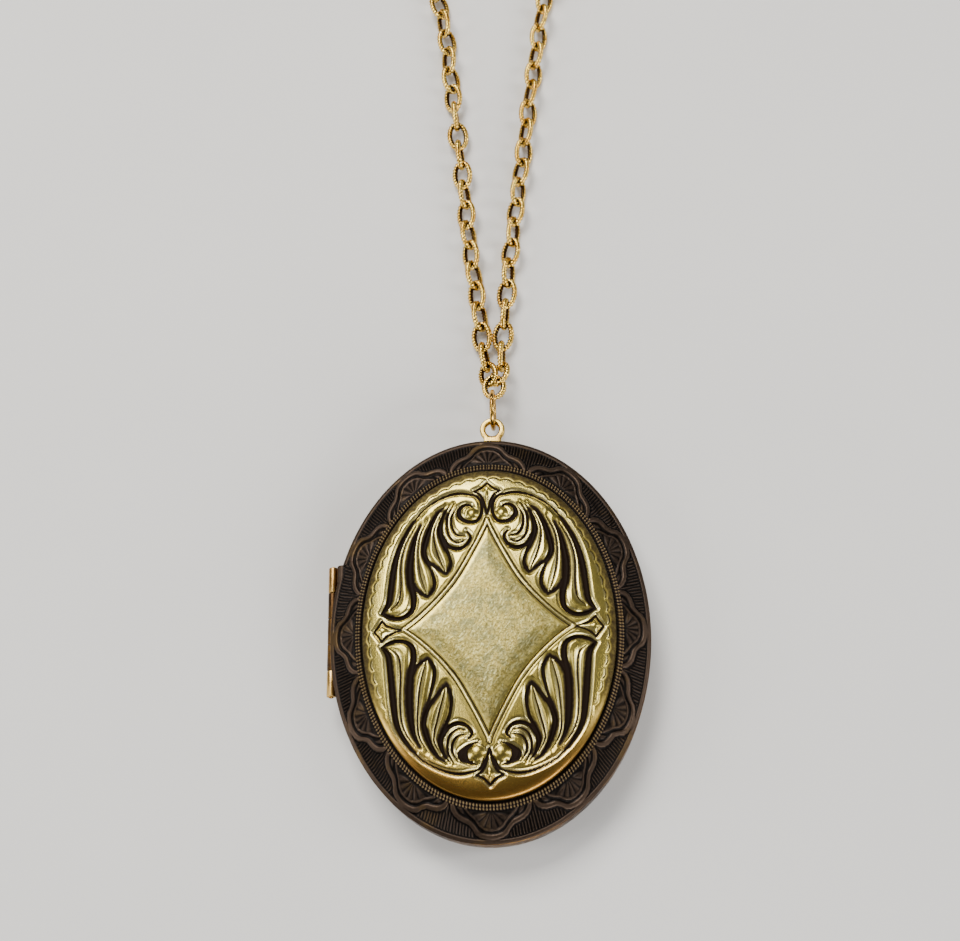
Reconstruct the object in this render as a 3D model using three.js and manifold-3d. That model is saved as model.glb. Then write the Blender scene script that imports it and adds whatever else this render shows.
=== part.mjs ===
// Oval picture locket on its neck chain, lying on its back.
// Millimetres. +Z points out of the front cover, +Y from the case towards the bail and the chain,
// and the hinge is on the -X side. The origin is the middle of the flat on which the back rests.

import * as THREE from 'three';
import { mergeVertices } from 'three/addons/utils/BufferGeometryUtils.js';
import Module from 'manifold-3d';

// Case
const CASE = { a: 20, b: 26 };               // half-axes of the rim
const SHEET = 0.5;                           // thickness of the stamped covers
const PARTING_Z = 4.8;                       // plane in which the covers meet
const COVER_GAP = 0.05;                      // gap between the closed covers
const REST_FLAT = { a: 7, b: 9.1 };          // flat middle of the back cover
const BACK_WALL_Z = 2.9;                     // where the back's dome becomes the upright wall
const RIM_TOP_Z = 5.75;                      // top of the front cover's upright rim
const RIDGE = { a: 16.05, b: 21.4 };         // foot of the front cover's raised dome
const RIDGE_Z = 7.4;
const DOME_STEP = 0.4;                       // upright edge of the dome above the border
const FRONT_TOP_Z = 9.8;
const CASE_SEGMENTS = 72;

// Hinge
const HINGE_X = -20.0;
const HINGE_LOW_Y = -7.2;
const HINGE_HIGH_Y = 9.6;
const KNUCKLES = ['back_lower', 'front_lower', 'back_middle', 'front_upper', 'back_upper'];
const KNUCKLE_GAP = 0.08;
const KNUCKLE_RADIUS = 0.58;
const HINGE_BORE_RADIUS = 0.36;
const HINGE_PIN_RADIUS = 0.31;
const PIN_STICK_OUT = 0.15;
const HINGE_NOTCH_RADIUS = 0.7;
const WING = { outer: -19.25, inner: -17.4 };  // straight edge of the front cover over the hinge

// Closing bezel and picture holders, as insets from the case's rim
const BEZEL = { outer: 0.58, inner: 1.1, low: 3.2, high: 5.35 };
const BACK_HOLDER = {
  outer: 1.2, lip: 3.2, skirt: 0.35, skirtLow: 3.35, seat: 4.05, top: 4.35,
  pane: { inset: 1.62, low: 3.74, high: 4.0 }, card: { inset: 1.62, low: 3.5, high: 3.66 },
};
const FRONT_HOLDER = {
  outer: 1.7, lip: 3.4, skirt: 0.35, skirtLow: 5.85, seat: 5.32, top: 5.05,
  pane: { inset: 2.12, low: 5.37, high: 5.6 }, card: { inset: 2.12, low: 5.66, high: 5.8 },
};

// Bail, jump ring and the chain link that hangs on it
const BAIL = { x: 0.5, y: 28.3, z: 3.9, radius: 1.64, hole: 0.9, thickness: 0.8, neck: 1.9 };
const JUMP_RING = { x: 0.6, y: 31.12, radius: 2.42, wire: 0.32 };
const END_LINK = { x: 0.8, length: 3.8, width: 3.0, wire: 0.35, tilt: -27 };
const LINK_HOOK_Y = 33.54;                   // jump ring's wire on the chain's side
const LINK_HOOK_OFFSET = 0.78;               // from that wire's middle to the link's own wire

// Neck chain
const CHAIN_RADIUS = 0.9;                    // of the plain tube that stands for the links
const CHAIN_SIDES = 8;
const CHAIN_STEP = 7;
const CHAIN_LEFT = [
  [-0.2, 36.8, 2.0], [-0.45, 38.6, 1.5], [-0.7, 40.4, 1.2], [-1.0, 43.5, 1.2], [-1.25, 46.6, 1.2],
  [-2.0, 52.5, 1.2], [-2.7, 58.7, 1.2], [-3.2, 65.1, 1.2], [-3.8, 71.5, 1.2], [-4.4, 77.6, 1.2],
  [-5.1, 84.1, 1.2], [-5.6, 90.2, 1.2], [-6.5, 95.3, 1.2], [-7.4, 98.6, 1.2], [-8.5, 101.6, 1.2],
  [-9.6, 104.3, 1.2],
];
const CHAIN_RIGHT = [
  [1.8, 36.8, 2.0], [1.65, 38.6, 1.5], [1.7, 40.6, 1.2], [2.0, 43.7, 1.2], [2.4, 47.5, 1.2],
  [2.9, 53.7, 1.2], [3.7, 59.9, 1.2], [4.4, 65.8, 1.2], [5.3, 72.1, 1.2], [6.0, 78.6, 1.2],
  [6.9, 84.6, 1.2], [7.7, 90.7, 1.2], [8.4, 95.3, 1.2], [9.1, 98.6, 1.7], [10.1, 101.6, 2.9],
  [11.2, 104.3, 3.9],
];
// Coil of the chain's other part. The clasp lies in its middle.
const COIL = { x: 0.8, y: 124.5, inner: 12.8, outer: 21.6, height: 5.6 };
const CHAIN_TAIL_LEFT = [
  [-5.9, -10.0, 1.2], [-7.4, -7.8, 1.2], [-8.4, -5.1, 1.2], [-8.7, -2.2, 1.2], [-8.2, 0.5, 1.2],
  [-7.2, 2.2, 1.1], [-6.0, 2.9, 1.0],
];
const CHAIN_TAIL_RIGHT = [
  [5.9, -10.0, 4.1], [7.4, -7.8, 3.3], [8.4, -5.1, 2.2], [8.7, -2.2, 1.5], [8.2, 0.6, 1.3],
  [7.0, 2.3, 1.5], [5.7, 3.0, 1.7],
];

// Spring-ring clasp
const CLASP = { x: 0.9, y: 127.5, z: 1.0, radius: 2.6, tube: 0.7, bore: 0.5, mouth: 30 };
const CLASP_BORE_END = 255;                  // where the bore stops, in degrees round the ring
const CLASP_SOCKET = 322;                    // bottom of the socket that the bolt's tip enters
const BOLT = { wire: 0.42, tip: -35, tail: 100, knob: 46, knobWidth: 0.55, knobReach: 4.0 };
const SLOT = { from: 36, to: 118, height: 0.7 };
const SPRING = { from: 104, to: 250, turns: 9, radius: 0.33, wire: 0.09, stepsPerTurn: 6 };
const CLASP_EYE = { radius: 0.85, wire: 0.25, gap: 0.05 };
const CLASP_END_RING = { x: 3.0, z: 1.72, radius: 1.45, wire: 0.26 };

const ANTIQUE_BRASS = { color: 0xa89a62, metalness: 1, roughness: 0.38 };
const PLAIN_BRASS = { color: 0xb5904a, metalness: 1, roughness: 0.35 };
const BRIGHT_GOLD = { color: 0xd9ad5a, metalness: 1, roughness: 0.28 };
const STEEL = { color: 0x9a9a98, metalness: 1, roughness: 0.35 };
const CLEAR = { color: 0xf2f5f2, metalness: 0, roughness: 0.08, transparent: true, opacity: 0.35 };
const CARD = { color: 0xe9e2cf, metalness: 0, roughness: 0.85 };

const wasm = await Module();
wasm.setup();

const locket = new THREE.Group();
locket.name = 'locket';

function addPart(name, shape, finish) {
  const mesh = new THREE.Mesh(shape, new THREE.MeshStandardMaterial(finish));
  mesh.name = name;
  locket.add(mesh);
  return mesh;
}

// Solids for cutting and joining

function toSolid(geometry) {
  const bare = geometry.clone();
  bare.deleteAttribute('normal');
  bare.deleteAttribute('uv');
  const merged = mergeVertices(bare, 1e-5);
  return new wasm.Manifold(new wasm.Mesh({
    numProp: 3,
    vertProperties: new Float32Array(merged.attributes.position.array),
    triVerts: new Uint32Array(merged.index.array),
  }));
}

function toGeometry(solid) {
  const { vertProperties, triVerts } = solid.getMesh();
  const geometry = new THREE.BufferGeometry();
  geometry.setAttribute('position', new THREE.BufferAttribute(new Float32Array(vertProperties), 3));
  geometry.setIndex(new THREE.BufferAttribute(new Uint32Array(triVerts), 1));
  geometry.computeVertexNormals();
  return geometry;
}

// Oval shapes

// A closed solid that follows an oval all round. The profile lists half-axes and heights, up the
// outside and back down the inside. A step with a = 0 is a point on the axis; a profile without
// such steps closes on itself.
function ovalGeometry(profile) {
  const positions = [];
  const rows = profile.map(({ a, b, z }) => {
    if (a === 0) {
      positions.push(0, 0, z);
      return new Array(CASE_SEGMENTS).fill(positions.length / 3 - 1);
    }
    return Array.from({ length: CASE_SEGMENTS }, (_, i) => {
      const turn = (2 * Math.PI * i) / CASE_SEGMENTS;
      positions.push(a * Math.cos(turn), b * Math.sin(turn), z);
      return positions.length / 3 - 1;
    });
  });
  const closesOnAxis = profile[0].a === 0;
  const bands = closesOnAxis ? rows.length - 1 : rows.length;
  const triangles = [];
  for (let row = 0; row < bands; row += 1) {
    const low = rows[row];
    const high = rows[(row + 1) % rows.length];
    for (let i = 0; i < CASE_SEGMENTS; i += 1) {
      const next = (i + 1) % CASE_SEGMENTS;
      if (low[i] !== low[next]) triangles.push(low[i], low[next], high[next]);
      if (high[i] !== high[next]) triangles.push(low[i], high[next], high[i]);
    }
  }
  const geometry = new THREE.BufferGeometry();
  geometry.setAttribute('position', new THREE.Float32BufferAttribute(positions, 3));
  geometry.setIndex(triangles);
  geometry.computeVertexNormals();
  return geometry;
}

function rim(inset, z) {
  return { a: CASE.a - inset, b: CASE.b - inset, z };
}

function between(from, to, share, z) {
  return {
    a: THREE.MathUtils.lerp(from.a, to.a, share),
    b: THREE.MathUtils.lerp(from.b, to.b, share),
    z,
  };
}

// The back's bowl: a flat middle, then a quarter round up to the upright wall.
function backBowl(inset, floorZ) {
  const steps = 7;
  const profile = [{ a: 0, b: 0, z: floorZ }];
  for (let step = 0; step <= steps; step += 1) {
    const turn = (Math.PI / 2) * (step / steps);
    const z = floorZ + (BACK_WALL_Z - floorZ) * (1 - Math.cos(turn));
    profile.push(between(REST_FLAT, rim(inset, 0), Math.sin(turn), z));
  }
  return profile;
}

// The front's outline from its upright rim to its highest point, drop below the outer surface.
function frontDome(inset, drop) {
  const domeSteps = 6;
  const edge = { a: RIDGE.a - 0.25 - inset / 2, b: RIDGE.b - 0.25 - inset / 2 };
  const profile = [
    rim(inset, RIM_TOP_Z - drop / 2),
    between(rim(inset, 0), RIDGE, 0.45, RIM_TOP_Z + 0.85 - drop),
    { a: RIDGE.a, b: RIDGE.b, z: RIDGE_Z - drop },
    { ...edge, z: RIDGE_Z + DOME_STEP - drop },
  ];
  for (let step = 1; step < domeSteps; step += 1) {
    const turn = (Math.PI / 2) * (step / domeSteps);
    const rise = FRONT_TOP_Z - RIDGE_Z - DOME_STEP;
    const z = RIDGE_Z + DOME_STEP + rise * Math.sin(turn) - drop;
    profile.push({ a: edge.a * Math.cos(turn), b: edge.b * Math.cos(turn), z });
  }
  profile.push({ a: 0, b: 0, z: FRONT_TOP_Z - drop });
  return profile;
}

function alongHinge(geometry, lowY, highY) {
  geometry.translate(HINGE_X, (lowY + highY) / 2, PARTING_Z);
  return geometry;
}

function hingeNotch() {
  const lowY = HINGE_LOW_Y - PIN_STICK_OUT - KNUCKLE_GAP;
  const highY = HINGE_HIGH_Y + PIN_STICK_OUT + KNUCKLE_GAP;
  const cutter = new THREE.CylinderGeometry(HINGE_NOTCH_RADIUS, HINGE_NOTCH_RADIUS, highY - lowY, 24);
  return toSolid(alongHinge(cutter, lowY, highY));
}

const notch = hingeNotch();

function makeBackCover() {
  const outside = toSolid(ovalGeometry([
    ...backBowl(0, 0),
    rim(0, PARTING_Z),
    { a: 0, b: 0, z: PARTING_Z },
  ]));
  const inside = toSolid(ovalGeometry([
    ...backBowl(SHEET, SHEET),
    rim(SHEET, PARTING_Z + 1),
    { a: 0, b: 0, z: PARTING_Z + 1 },
  ]));
  addPart('back_cover', toGeometry(outside.subtract(inside).subtract(notch)), PLAIN_BRASS);
}

function makeFrontCover() {
  const footZ = PARTING_Z + COVER_GAP;
  const outside = toSolid(ovalGeometry([{ a: 0, b: 0, z: footZ }, rim(0, footZ), ...frontDome(0, 0)]));
  const inside = toSolid(ovalGeometry([
    { a: 0, b: 0, z: PARTING_Z - 1 },
    rim(SHEET, PARTING_Z - 1),
    ...frontDome(SHEET, SHEET),
  ]));
  const wing = new THREE.BoxGeometry(
    WING.inner - WING.outer,
    HINGE_HIGH_Y - HINGE_LOW_Y,
    RIM_TOP_Z - footZ,
  );
  wing.translate(
    (WING.inner + WING.outer) / 2,
    (HINGE_HIGH_Y + HINGE_LOW_Y) / 2,
    (RIM_TOP_Z + footZ) / 2,
  );
  const cover = outside.add(toSolid(wing)).subtract(inside).subtract(notch);
  addPart('front_cover', toGeometry(cover), ANTIQUE_BRASS);
}

function makeClosingBezel() {
  const band = toSolid(ovalGeometry([
    rim(BEZEL.outer, BEZEL.low),
    rim(BEZEL.outer, BEZEL.high),
    rim(BEZEL.inner, BEZEL.high),
    rim(BEZEL.inner, BEZEL.low),
  ]));
  addPart('closing_bezel', toGeometry(band.subtract(notch)), PLAIN_BRASS);
}

// One picture holder: a frame with a lip and a skirt, and in it a clear pane over a card.
function makePictureHolder(side, holder) {
  const frameProfile = [
    rim(holder.outer, holder.skirtLow),
    rim(holder.outer, holder.top),
    rim(holder.lip, holder.top),
    rim(holder.lip, holder.seat),
    rim(holder.outer + holder.skirt, holder.seat),
    rim(holder.outer + holder.skirt, holder.skirtLow),
  ];
  const facesUp = holder.top > holder.skirtLow;
  const frame = ovalGeometry(facesUp ? frameProfile : frameProfile.reverse());
  addPart(`${side}_picture_frame`, frame, PLAIN_BRASS);
  const sheet = ({ inset, low, high }) => ovalGeometry([
    { a: 0, b: 0, z: low },
    rim(inset, low),
    rim(inset, high),
    { a: 0, b: 0, z: high },
  ]);
  addPart(`${side}_pane`, sheet(holder.pane), CLEAR);
  addPart(`${side}_picture_card`, sheet(holder.card), CARD);
}

function makeHinge() {
  const pitch = (HINGE_HIGH_Y - HINGE_LOW_Y + KNUCKLE_GAP) / KNUCKLES.length;
  const length = pitch - KNUCKLE_GAP;
  KNUCKLES.forEach((name, index) => {
    const lowY = HINGE_LOW_Y + index * pitch;
    const tube = new THREE.LatheGeometry([
      new THREE.Vector2(HINGE_BORE_RADIUS, -length / 2),
      new THREE.Vector2(KNUCKLE_RADIUS, -length / 2),
      new THREE.Vector2(KNUCKLE_RADIUS, length / 2),
      new THREE.Vector2(HINGE_BORE_RADIUS, length / 2),
      new THREE.Vector2(HINGE_BORE_RADIUS, -length / 2),
    ], 24);
    addPart(`hinge_knuckle_${name}`, alongHinge(tube, lowY, lowY + length), PLAIN_BRASS);
  });
  const lowY = HINGE_LOW_Y - PIN_STICK_OUT;
  const highY = HINGE_HIGH_Y + PIN_STICK_OUT;
  const pin = new THREE.CylinderGeometry(HINGE_PIN_RADIUS, HINGE_PIN_RADIUS, highY - lowY, 24);
  addPart('hinge_pin', alongHinge(pin, lowY, highY), BRIGHT_GOLD);
}

// A flat ring whose neck ends just short of the back cover's wall.
function makeBail() {
  const outline = new THREE.Shape();
  const neckTurn = Math.asin(BAIL.neck / 2 / BAIL.radius);
  const down = -Math.PI / 2;
  outline.absarc(BAIL.x, BAIL.y, BAIL.radius, down + neckTurn, down - neckTurn, false);
  outline.lineTo(BAIL.x - BAIL.neck / 2, CASE.b + COVER_GAP);
  outline.lineTo(BAIL.x + BAIL.neck / 2, CASE.b + COVER_GAP);
  const hole = new THREE.Path();
  hole.absarc(BAIL.x, BAIL.y, BAIL.hole, 0, 2 * Math.PI, true);
  outline.holes.push(hole);
  const ring = new THREE.ExtrudeGeometry(outline, {
    depth: BAIL.thickness,
    bevelEnabled: false,
    curveSegments: 20,
  });
  ring.translate(0, 0, BAIL.z - BAIL.thickness / 2);
  addPart('bail', ring, BRIGHT_GOLD);
}

function makeJumpRing() {
  const ring = new THREE.TorusGeometry(JUMP_RING.radius, JUMP_RING.wire, 8, 28);
  const part = addPart('jump_ring', ring, BRIGHT_GOLD);
  part.rotation.y = Math.PI / 2;
  part.position.set(JUMP_RING.x, JUMP_RING.y, BAIL.z);
}

// The link turns about the jump ring's wire, so its tilt is about that point. It is a ring whose two
// halves are moved apart by its straight sides.
function makeEndLink() {
  const segments = 24;
  const radius = (END_LINK.width - END_LINK.wire * 2) / 2;
  const straight = (END_LINK.length - END_LINK.width) / 2;
  const link = new THREE.TorusGeometry(radius, END_LINK.wire, 8, segments);
  link.rotateZ(Math.PI / segments);
  const position = link.attributes.position;
  for (let i = 0; i < position.count; i += 1) {
    const y = position.getY(i);
    position.setY(i, y + straight * Math.sign(y));
  }
  link.translate(0, radius + straight - LINK_HOOK_OFFSET, 0);
  const part = addPart('chain_end_link', link, BRIGHT_GOLD);
  part.rotation.x = THREE.MathUtils.degToRad(END_LINK.tilt);
  part.position.set(END_LINK.x, LINK_HOOK_Y, BAIL.z);
}

function roundSection(radius, sides) {
  const corners = Array.from({ length: sides }, (_, i) => {
    const turn = (2 * Math.PI * (i + 0.5)) / sides;
    return new THREE.Vector2(radius * Math.cos(turn), radius * Math.sin(turn));
  });
  return new THREE.Shape(corners);
}

function chainTube(name, route, origin = { x: 0, y: 0 }) {
  const points = route.map(([x, y, z]) => new THREE.Vector3(x + origin.x, y + origin.y, z));
  const path = new THREE.CatmullRomCurve3(points);
  const steps = Math.max(4, Math.round(path.getLength() / CHAIN_STEP));
  const section = roundSection(CHAIN_RADIUS, CHAIN_SIDES);
  const tube = new THREE.ExtrudeGeometry(section, { steps, extrudePath: path });
  addPart(name, tube, BRIGHT_GOLD);
}

function makeChain() {
  chainTube('chain_left', CHAIN_LEFT);
  chainTube('chain_right', CHAIN_RIGHT);
  chainTube('chain_tail_left', CHAIN_TAIL_LEFT, COIL);
  chainTube('chain_tail_right', CHAIN_TAIL_RIGHT, COIL);
  const coil = new THREE.LatheGeometry([
    new THREE.Vector2(COIL.inner, 0),
    new THREE.Vector2(COIL.outer, 0),
    new THREE.Vector2(COIL.outer, COIL.height),
    new THREE.Vector2(COIL.inner, COIL.height),
    new THREE.Vector2(COIL.inner, 0),
  ], 48);
  coil.rotateX(Math.PI / 2);
  coil.translate(COIL.x, COIL.y, 0);
  addPart('chain_coil', coil, BRIGHT_GOLD);
}

// Arc of round wire in the clasp's plane, from one bearing to another in degrees.
function claspArc(wire, from, to, sides = 10) {
  const points = [];
  const steps = Math.ceil((to - from) / 15);
  for (let step = 0; step <= steps; step += 1) {
    const turn = THREE.MathUtils.degToRad(from + ((to - from) * step) / steps);
    points.push(new THREE.Vector3(CLASP.radius * Math.cos(turn), CLASP.radius * Math.sin(turn), 0));
  }
  const path = new THREE.CatmullRomCurve3(points);
  return new THREE.ExtrudeGeometry(roundSection(wire, sides), { steps: steps * 2, extrudePath: path });
}

// Flat sector of a ring, from one bearing to another in degrees.
function sector(inner, outer, from, to, height) {
  const shape = new THREE.Shape();
  const start = THREE.MathUtils.degToRad(from);
  const end = THREE.MathUtils.degToRad(to);
  shape.absarc(0, 0, outer, start, end, false);
  shape.absarc(0, 0, inner, end, start, true);
  const plate = new THREE.ExtrudeGeometry(shape, { depth: height, bevelEnabled: false, curveSegments: 10 });
  plate.translate(0, 0, -height / 2);
  return toSolid(plate);
}

function atClasp(geometry) {
  geometry.translate(CLASP.x, CLASP.y, CLASP.z);
  return geometry;
}

function makeClasp() {
  const tube = toSolid(claspArc(CLASP.tube, CLASP.mouth, 360 - CLASP.mouth));
  const bore = toSolid(claspArc(CLASP.bore, CLASP.mouth - 10, CLASP_BORE_END));
  const socket = toSolid(claspArc(CLASP.bore, CLASP_SOCKET, 370 - CLASP.mouth));
  const slot = sector(CLASP.radius, CLASP.radius + 2, SLOT.from, SLOT.to, SLOT.height);
  const body = tube.subtract(bore).subtract(socket).subtract(slot);
  addPart('clasp_body', atClasp(toGeometry(body)), BRIGHT_GOLD);

  const rod = toSolid(claspArc(BOLT.wire, BOLT.tip, BOLT.tail, 8));
  const halfWidth = THREE.MathUtils.radToDeg(BOLT.knobWidth / 2 / CLASP.radius);
  const knob = sector(
    CLASP.radius,
    BOLT.knobReach,
    BOLT.knob - halfWidth,
    BOLT.knob + halfWidth,
    BOLT.knobWidth,
  );
  addPart('clasp_bolt', atClasp(toGeometry(rod.add(knob))), BRIGHT_GOLD);

  const turns = [];
  const count = SPRING.turns * SPRING.stepsPerTurn;
  for (let step = 0; step <= count; step += 1) {
    const bearing = SPRING.from + ((SPRING.to - SPRING.from) * step) / count;
    const around = THREE.MathUtils.degToRad(bearing);
    const wind = (2 * Math.PI * step) / SPRING.stepsPerTurn;
    const reach = CLASP.radius + SPRING.radius * Math.cos(wind);
    const lift = SPRING.radius * Math.sin(wind);
    turns.push(new THREE.Vector3(reach * Math.cos(around), reach * Math.sin(around), lift));
  }
  const spring = new THREE.ExtrudeGeometry(roundSection(SPRING.wire, 5), {
    steps: count,
    extrudePath: new THREE.CatmullRomCurve3(turns),
  });
  addPart('clasp_spring', atClasp(spring), STEEL);

  const eye = new THREE.TorusGeometry(CLASP_EYE.radius, CLASP_EYE.wire, 8, 20);
  eye.translate(-(CLASP.radius + CLASP.tube + CLASP_EYE.gap + CLASP_EYE.wire + CLASP_EYE.radius), 0, 0);
  addPart('clasp_eye', atClasp(eye), BRIGHT_GOLD);

  const endRing = new THREE.TorusGeometry(CLASP_END_RING.radius, CLASP_END_RING.wire, 8, 24);
  endRing.rotateX(Math.PI / 2);
  endRing.translate(CLASP.x + CLASP_END_RING.x, CLASP.y, CLASP_END_RING.z);
  addPart('clasp_end_ring', endRing, BRIGHT_GOLD);
}

makeBackCover();
makeFrontCover();
makeClosingBezel();
makePictureHolder('back', BACK_HOLDER);
makePictureHolder('front', FRONT_HOLDER);
makeHinge();
makeBail();
makeJumpRing();
makeEndLink();
makeChain();
makeClasp();

export default locket;
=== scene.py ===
"""Looks of an oval picture locket that lies on its back, with its neck chain.

Shapes are worked out in millimetres, and add_piece turns them into metres. +Z points out of the
front cover, +Y towards the bail and the chain, and the hinge is on the -X side.
"""

import math

import bpy
import numpy as np
from mathutils import Matrix, Vector


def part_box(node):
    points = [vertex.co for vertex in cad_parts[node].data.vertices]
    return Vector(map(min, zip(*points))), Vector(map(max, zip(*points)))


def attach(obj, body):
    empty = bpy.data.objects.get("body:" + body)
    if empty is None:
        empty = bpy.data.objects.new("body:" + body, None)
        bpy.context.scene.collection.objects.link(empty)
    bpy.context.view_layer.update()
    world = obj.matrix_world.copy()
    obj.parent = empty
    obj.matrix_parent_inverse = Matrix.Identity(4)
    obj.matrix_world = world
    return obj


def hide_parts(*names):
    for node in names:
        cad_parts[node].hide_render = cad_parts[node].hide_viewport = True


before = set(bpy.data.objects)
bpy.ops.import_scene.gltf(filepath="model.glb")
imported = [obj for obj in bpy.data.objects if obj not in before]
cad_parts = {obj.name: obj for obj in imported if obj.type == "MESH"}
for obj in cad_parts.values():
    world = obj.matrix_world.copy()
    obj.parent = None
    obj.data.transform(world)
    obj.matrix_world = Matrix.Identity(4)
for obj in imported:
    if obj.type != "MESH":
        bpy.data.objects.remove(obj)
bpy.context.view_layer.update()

MM = 0.001


def box_mm(node):
    low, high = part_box(node)
    return np.array(low) / MM, np.array(high) / MM


# ---------------- sizes, in millimetres

_, back_high = box_mm("back_cover")
front_low, front_high = box_mm("front_cover")
# Of each oval, A is half its width, along X, and B is half its height, along Y.
CASE_A, CASE_B = back_high[0], back_high[1]
PARTING_Z = back_high[2]
FRONT_FOOT_Z = front_low[2]
TOP_Z = front_high[2]
SHEET = 0.5
REST_A, REST_B = 7.0, 9.1
BACK_WALL_Z = 2.9
RIM_TOP_Z = 5.75
RIDGE_A, RIDGE_B, RIDGE_Z = 16.05, 21.4, 7.4
DOME_A, DOME_B, DOME_FOOT_Z = 15.8, 21.15, 7.8
DOME_DEPTH = 1.0

HINGE_X = -20.0
HINGE_SPAN = (-7.2, 9.6)
WING_X = 19.25
NOTCH_RADIUS = 0.7
KNUCKLES = ("back_lower", "front_lower", "back_middle", "front_upper", "back_upper")

LINK_LENGTH, LINK_WIDTH, LINK_WIRE = 4.7, 3.1, 0.4
LINK_PITCH = 3.12
LINK_TWISTS = 22
LINK_ROLL = math.radians(45)
# Places along a strand, counted in links from the end link, round which its links lie flat and
# upright by turns. The second number says which way they are turned over.
LEFT_LOOSE = ((1, 1), (12, 1), (96, -1))
RIGHT_LOOSE = ((2, 1), (96, 1))
LOOSE_REACH = 1.6
# How far the links' roll sways along the strand, how fast, and how much each differs by chance.
ROLL_SWAY, ROLL_BEAT, ROLL_CHANCE = 0.2, 0.31, 0.08

COIL_X, COIL_Y = 0.8, 124.5
COIL_OUTER_TURN, COIL_INNER_TURN = 20.2, 14.2
COIL_ENTRY, COIL_SWEEP = math.radians(229), math.radians(691)
COIL_POINTS = 46

CHAIN_LEFT = [
    (0.3, 35.6, 2.85), (-0.2, 36.8, 2.0), (-0.45, 38.6, 1.5), (-0.7, 40.4, 1.2), (-1.0, 43.5, 1.2),
    (-1.25, 46.6, 1.2), (-2.0, 52.5, 1.2), (-2.7, 58.7, 1.2), (-3.2, 65.1, 1.2), (-3.8, 71.5, 1.2),
    (-4.4, 77.6, 1.2), (-5.1, 84.1, 1.2), (-5.6, 90.2, 1.2), (-6.5, 95.3, 1.2), (-7.4, 98.6, 1.2),
    (-8.5, 101.6, 1.2), (-9.6, 104.3, 1.2),
]
CHAIN_RIGHT = [
    (1.3, 35.6, 2.85), (1.8, 36.8, 2.0), (1.65, 38.6, 1.5), (1.7, 40.6, 1.2), (2.0, 43.7, 1.2),
    (2.4, 47.5, 1.2), (2.9, 53.7, 1.2), (3.7, 59.9, 1.2), (4.4, 65.8, 1.2), (5.3, 72.1, 1.2),
    (6.0, 78.6, 1.2), (6.9, 84.6, 1.2), (7.7, 90.7, 1.2), (8.4, 95.3, 1.2), (9.1, 98.6, 1.7),
    (10.1, 101.6, 2.9), (11.2, 104.3, 3.9),
]
CHAIN_TAIL_LEFT = [
    (-5.9, -10.0, 1.2), (-7.4, -7.8, 1.2), (-8.4, -5.1, 1.2), (-8.7, -2.2, 1.2), (-8.2, 0.5, 1.2),
    (-7.2, 2.2, 1.1), (-6.0, 2.9, 1.0), (-5.05, 3.0, 1.0),
]
CHAIN_TAIL_RIGHT = [
    (5.9, -10.0, 4.1), (7.4, -7.8, 3.3), (8.4, -5.1, 2.2), (8.7, -2.2, 1.5), (8.2, 0.6, 1.3),
    (7.0, 2.3, 1.5), (5.7, 3.0, 1.7), (4.5, 3.0, 1.72),
]


# ---------------- mesh helpers


def add_object(name, data):
    thing = bpy.data.objects.new(name, data)
    bpy.context.scene.collection.objects.link(thing)
    return thing


def add_mesh(name, points, faces):
    """A mesh from points in millimetres."""
    mesh = bpy.data.meshes.new(name)
    mesh.from_pydata((np.asarray(points, float) * MM).tolist(), [], [list(f) for f in faces])
    return mesh


def add_piece(name, points, faces, body, slot, material, replaces=(), layers=None):
    """A smooth piece from points in millimetres. layers holds one number for each point, by name."""
    mesh = add_mesh(name, points, faces)
    mesh.polygons.foreach_set("use_smooth", np.ones(len(mesh.polygons), bool))
    for layer, values in (layers or {}).items():
        attribute = mesh.attributes.new(layer, "FLOAT", "POINT")
        attribute.data.foreach_set("value", np.asarray(values, np.float32).ravel())
    mesh.update()
    piece = add_object(name, mesh)
    mesh.materials.append(material)
    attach(piece, body)
    if replaces:
        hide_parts(*replaces)
    return piece


def add_wire(name, mesh, body, node):
    """A piece of polished gold-toned wire, from its points and faces."""
    return add_piece(name, *mesh, body, "gold_wire", GOLD_WIRE, [node])


def ramp(low, high, value):
    """Smoothly from 0 at low to 1 at high."""
    share = np.clip((value - low) / (high - low), 0, 1)
    return share * share * (3 - 2 * share)


def full_turn(count):
    return np.arange(count) * 2 * math.pi / count


def run_length(line):
    """How far along a line each of its points is."""
    return np.concatenate([[0], np.cumsum(np.linalg.norm(np.diff(line, axis=0), axis=1))])


def loft(rows, closed=False):
    """Joins rings of points, each listed anticlockwise seen from +Z, going up the outside. A ring of
    one point is a pole. With closed, the last ring joins the first."""
    rows = [np.atleast_2d(np.asarray(row, float)) for row in rows]
    starts = np.cumsum([0] + [len(row) for row in rows])
    faces = []
    pairs = [(i, i + 1) for i in range(len(rows) - 1)]
    if closed:
        pairs.append((len(rows) - 1, 0))
    for low, high in pairs:
        n = max(len(rows[low]), len(rows[high]))
        here = np.arange(n)
        following = (here + 1) % n
        if len(rows[low]) == 1:
            faces += [(starts[low], starts[high] + f, starts[high] + h) for h, f in zip(here, following)]
        elif len(rows[high]) == 1:
            faces += [(starts[low] + h, starts[low] + f, starts[high]) for h, f in zip(here, following)]
        else:
            faces += np.stack([
                starts[low] + here, starts[low] + following, starts[high] + following, starts[high] + here,
            ], 1).tolist()
    return np.vstack(rows), faces


def soften(profile, radius, steps=3):
    """Rounds each corner of a closed outline of (across, up) points."""
    outline = np.asarray(profile, float)
    rounded = []
    for i, corner in enumerate(outline):
        ends = []
        for other in (outline[i - 1], outline[(i + 1) % len(outline)]):
            side = other - corner
            long = np.linalg.norm(side)
            ends.append(corner + side / long * min(radius, long * 0.45))
        start, end = ends
        for step in range(steps + 1):
            t = step / steps
            rounded.append((1 - t) ** 2 * start + 2 * t * (1 - t) * corner + t ** 2 * end)
    return rounded


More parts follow.
